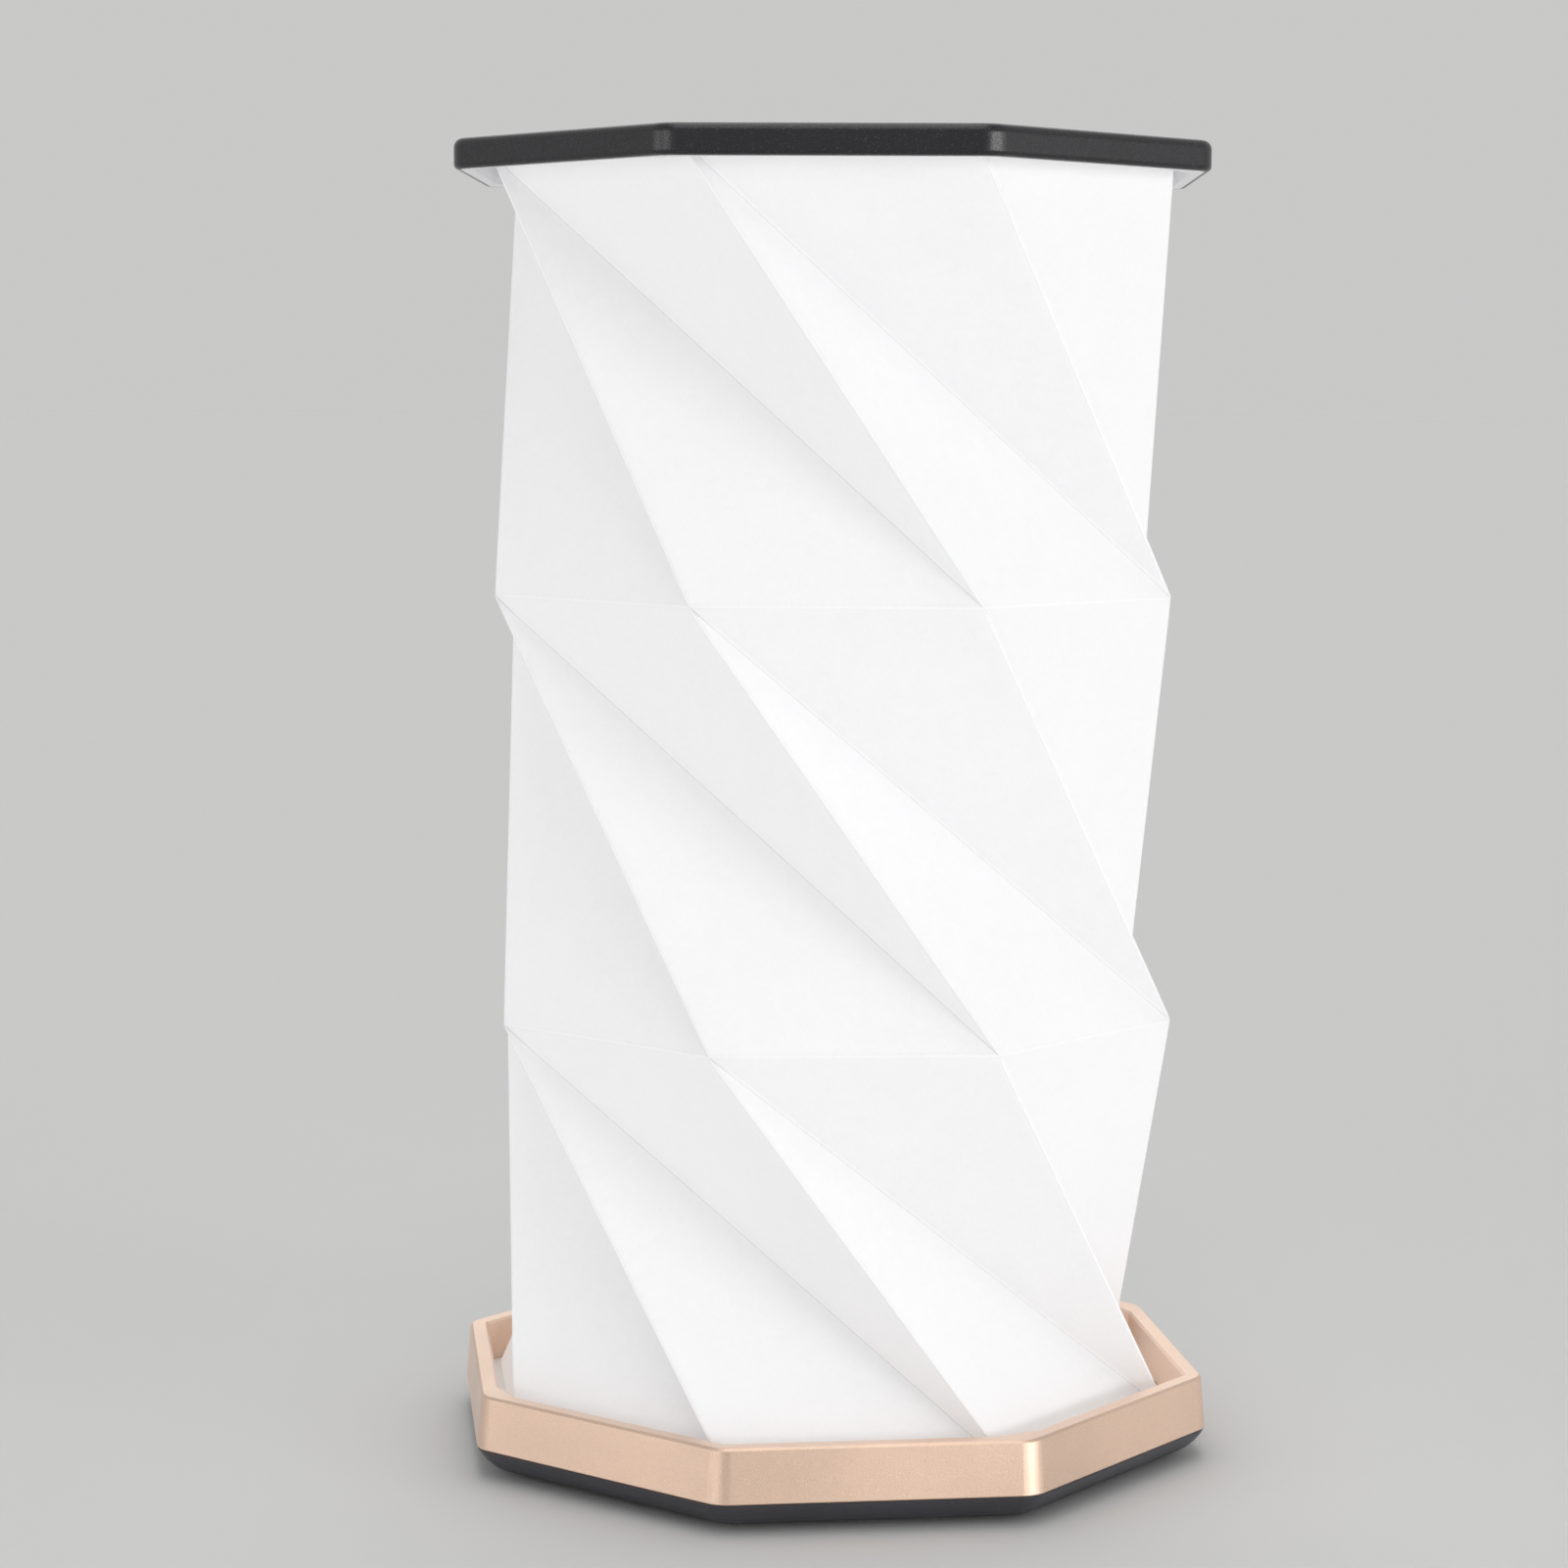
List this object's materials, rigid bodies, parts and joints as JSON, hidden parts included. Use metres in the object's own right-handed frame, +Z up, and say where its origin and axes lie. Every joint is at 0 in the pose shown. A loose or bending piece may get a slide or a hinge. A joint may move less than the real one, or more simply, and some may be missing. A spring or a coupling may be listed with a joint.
{
  "type": "folding paper table lamp",
  "caption": "Octagonal paper lantern lamp whose twist-folded shade stands between a cap and a metal tray base and folds flat into them.",
  "frame": {"origin": "centre of the octagonal base, on the table surface under the rubber feet", "axes": "+Z up along the lamp's axis, +Y towards the rear side with the charging inlet and the button, flats of the base square to X and Y"},
  "size_m": [0.1254, 0.1254, 0.2151],
  "materials": {
    "cap_black": "satin, fine grain",
    "liner_grey": "matt",
    "tape": "matt",
    "magnet": "plated",
    "paper": "matt spun-bonded paper, lit from inside",
    "rose_gold": "bead-blasted, anodised, satin",
    "tray_white": "matt",
    "base_black": "satin, fine grain",
    "feet": "matt",
    "screw_steel": "plated",
    "led_board": "white solder mask",
    "led": "phosphor, gloss",
    "opal": "opal",
    "wire": "satin insulation",
    "pouch": "satin foil",
    "pad": "foam",
    "board_green": "solder mask",
    "chips": "moulded",
    "port_steel": "plated",
    "button_black": "satin"
  },
  "bodies": {
    "base": {"foot_tape": "tape", "base_ring": "rose_gold", "base_magnets": "magnet", "tray_floor": "tray_white", "bottom_cover": "base_black", "rubber_feet": "feet", "cover_screws": "screw_steel", "led_board": "led_board", "leds": "led", "led_screws": "screw_steel", "diffuser": "opal", "led_leads": "wire", "battery": "pouch", "battery_pad": "pad", "battery_leads": "wire", "control_board": "board_green", "board_parts": "chips", "board_screws": "screw_steel", "port_shell": "port_steel", "port_tongue": "chips", "switch_body": "port_steel"},
    "shade": {"paper_shade": "paper"},
    "cap": {"cap_shell": "cap_black", "cap_liner": "liner_grey", "liner_tape": "tape", "cap_magnets": "magnet", "head_tape": "tape"},
    "button": {"power_button": "button_black", "switch_plunger": "chips"}
  },
  "joints": [
    {"name": "fold", "type": "slide", "parent": "base", "child": "shade", "axis": [0, 0, -1], "range_m": [0, 0.1961], "deforming": ["paper_shade"]},
    {"name": "twist", "type": "hinge", "parent": "shade", "child": "cap", "pos_m": [0, 0, 0.2102], "axis": [0, 0, -1], "range_deg": [0, 126.7]},
    {"name": "press", "type": "slide", "parent": "base", "child": "button", "axis": [0, -1, 0], "range_m": [0, 0.00035], "stiffness_N_per_m": 800, "springref_m": -0.0005}
  ],
  "couplings": [
    {"joint": "twist", "follows": "fold", "rad_per_m": 11.276}
  ]
}
